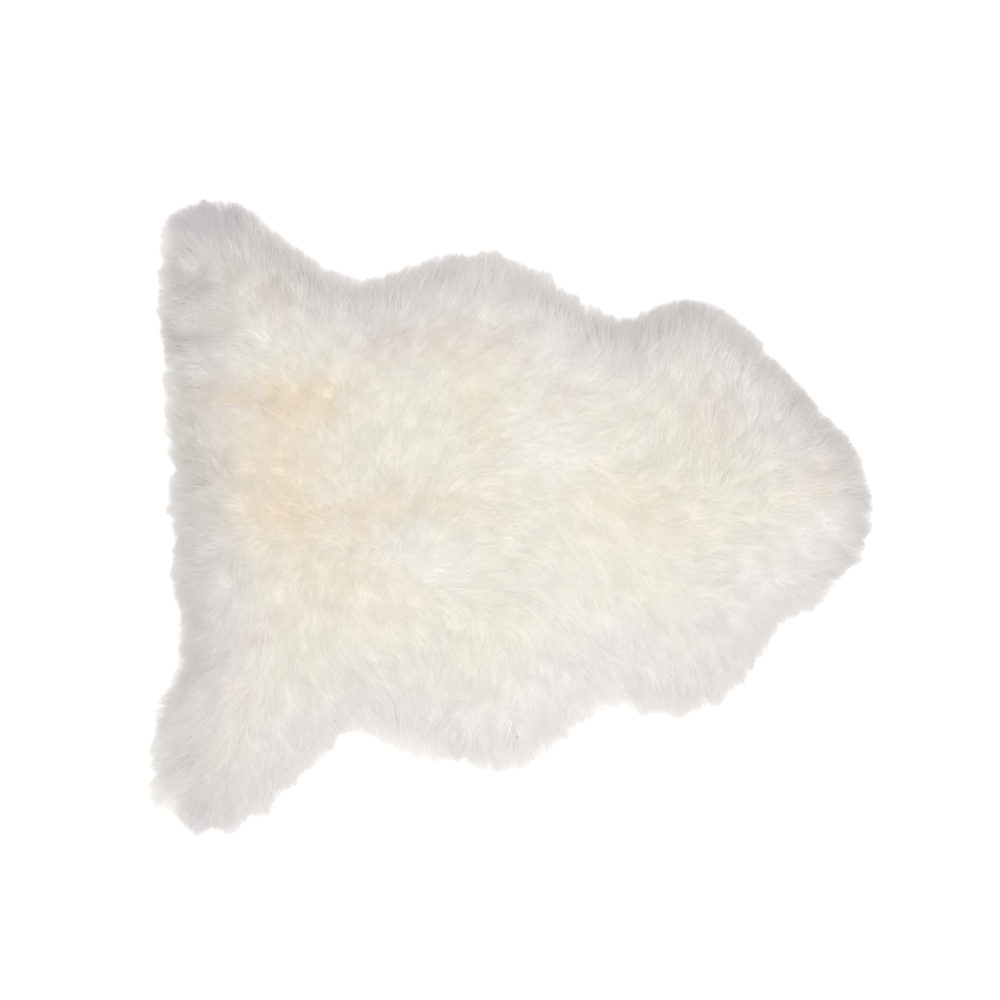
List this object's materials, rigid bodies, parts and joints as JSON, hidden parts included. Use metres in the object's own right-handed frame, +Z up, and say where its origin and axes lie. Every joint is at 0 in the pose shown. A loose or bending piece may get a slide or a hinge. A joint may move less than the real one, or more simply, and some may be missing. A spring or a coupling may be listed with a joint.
{
  "type": "sheepskin rug",
  "caption": "Long-pile sheepskin rug lying flat, fleece up: a whole tanned skin with spread hind legs at the broad end, waisted flanks, short forelegs and a narrow neck.",
  "frame": {"origin": "centre of the rug's bounding box, on the plane that it lies on", "axes": "+X along the back towards the neck, +Y across the back towards one side, +Z up out of the floor"},
  "size_m": [0.922, 0.81, 0.0514],
  "materials": {
    "fleece": "long ivory wool in fine soft locks, matt with a faint sheen, warmer cream and straw patches over the rump"
  },
  "bodies": {
    "root": {"sheepskin": "fleece"}
  },
  "joints": []
}
